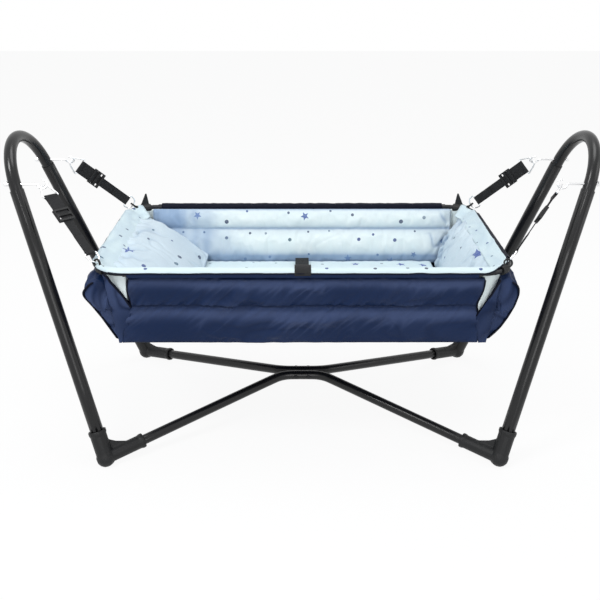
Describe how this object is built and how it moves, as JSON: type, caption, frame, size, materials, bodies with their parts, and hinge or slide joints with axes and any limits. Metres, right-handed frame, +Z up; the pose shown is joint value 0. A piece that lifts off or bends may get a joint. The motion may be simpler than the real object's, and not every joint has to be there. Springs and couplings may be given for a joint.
{
  "type": "hanging baby cradle",
  "caption": "Baby cradle: a padded fabric tub with a mattress hangs on adjustable straps from hooks in a bent steel tube stand and swings from side to side.",
  "frame": {"origin": "centre of the footprint on the floor", "axes": "+X along the length to the right, +Y to the rear, +Z up; the front of the picture is -Y"},
  "size_m": [1.4474, 0.6376, 0.7767],
  "materials": {
    "tube": "gloss black",
    "plastic": "black moulded",
    "chrome": "bright plated",
    "web": "black woven webbing",
    "rail": "black",
    "navy": "padded navy cloth",
    "liner": "pale blue printed cotton"
  },
  "bodies": {
    "stand": {"left_arch": "tube", "left_centre_bolt": "chrome", "left_centre_nut": "chrome", "right_arch": "tube", "right_centre_bolt": "chrome", "right_centre_nut": "chrome", "front_base_tube": "tube", "rear_base_tube": "tube", "left_front_leg": "tube", "left_front_elbow": "plastic", "left_front_hook": "chrome", "left_front_hook_nut": "chrome", "right_front_leg": "tube", "right_front_elbow": "plastic", "right_front_hook": "chrome", "right_front_hook_nut": "chrome", "left_rear_leg": "tube", "left_rear_elbow": "plastic", "left_rear_hook": "chrome", "left_rear_hook_nut": "chrome", "right_rear_leg": "tube", "right_rear_elbow": "plastic", "right_rear_hook": "chrome", "right_rear_hook_nut": "chrome"},
    "cradle": {"left_end_rail": "rail", "left_end_wall": "navy", "left_end_pad": "liner", "right_end_rail": "rail", "right_end_wall": "navy", "right_end_pad": "liner", "front_rail": "rail", "front_panel": "navy", "front_liner": "liner", "rear_rail": "rail", "rear_panel": "navy", "rear_liner": "liner", "left_front_tab": "plastic", "right_front_tab": "plastic", "left_rear_tab": "plastic", "right_rear_tab": "plastic", "floor_panel": "navy", "mattress": "liner", "belt": "web"},
    "left_front_hanger": {"left_front_triangle_ring": "chrome", "left_front_strap": "web", "left_front_d_ring": "chrome"},
    "left_front_slider": {"left_front_slider": "plastic"},
    "right_front_hanger": {"right_front_triangle_ring": "chrome", "right_front_strap": "web", "right_front_d_ring": "chrome"},
    "right_front_slider": {"right_front_slider": "plastic"},
    "left_rear_hanger": {"left_rear_triangle_ring": "chrome", "left_rear_strap": "web", "left_rear_d_ring": "chrome"},
    "left_rear_slider": {"left_rear_slider": "plastic"},
    "right_rear_hanger": {"right_rear_triangle_ring": "chrome", "right_rear_strap": "web", "right_rear_d_ring": "chrome"},
    "right_rear_slider": {"right_rear_slider": "plastic"}
  },
  "joints": [
    {"name": "left_front_hanger_swing", "type": "hinge", "parent": "stand", "child": "left_front_hanger", "pos_m": [-0.61137, -0.12882, 0.66858], "axis": [1, 0, 0], "range_deg": [-10, 10]},
    {"name": "right_front_hanger_swing", "type": "hinge", "parent": "stand", "child": "right_front_hanger", "pos_m": [0.61137, -0.12882, 0.66858], "axis": [1, 0, 0], "range_deg": [-10, 10]},
    {"name": "left_rear_hanger_swing", "type": "hinge", "parent": "stand", "child": "left_rear_hanger", "pos_m": [-0.61137, 0.12882, 0.66858], "axis": [1, 0, 0], "range_deg": [-10, 10]},
    {"name": "right_rear_hanger_swing", "type": "hinge", "parent": "stand", "child": "right_rear_hanger", "pos_m": [0.61137, 0.12882, 0.66858], "axis": [1, 0, 0], "range_deg": [-10, 10]},
    {"name": "cradle_swing", "type": "hinge", "parent": "left_front_hanger", "child": "cradle", "pos_m": [-0.48204, -0.22917, 0.51918], "axis": [1, 0, 0], "range_deg": [-5.65, 5.65]},
    {"name": "left_front_slider_slide", "type": "slide", "parent": "left_front_hanger", "child": "left_front_slider", "axis": [0.5835, -0.4528, -0.6741], "range_m": [0, 0.045]},
    {"name": "right_front_slider_slide", "type": "slide", "parent": "right_front_hanger", "child": "right_front_slider", "axis": [-0.5835, -0.4528, -0.6741], "range_m": [0, 0.045]},
    {"name": "left_rear_slider_slide", "type": "slide", "parent": "left_rear_hanger", "child": "left_rear_slider", "axis": [0.5835, 0.4528, -0.6741], "range_m": [0, 0.045]},
    {"name": "right_rear_slider_slide", "type": "slide", "parent": "right_rear_hanger", "child": "right_rear_slider", "axis": [-0.5835, 0.4528, -0.6741], "range_m": [0, 0.045]}
  ],
  "couplings": [
    {"joint": "right_front_hanger_swing", "follows": "left_front_hanger_swing", "ratio": 1},
    {"joint": "left_rear_hanger_swing", "follows": "left_front_hanger_swing", "ratio": 1},
    {"joint": "right_rear_hanger_swing", "follows": "left_front_hanger_swing", "ratio": 1},
    {"joint": "cradle_swing", "follows": "left_front_hanger_swing", "ratio": -0.5621}
  ]
}
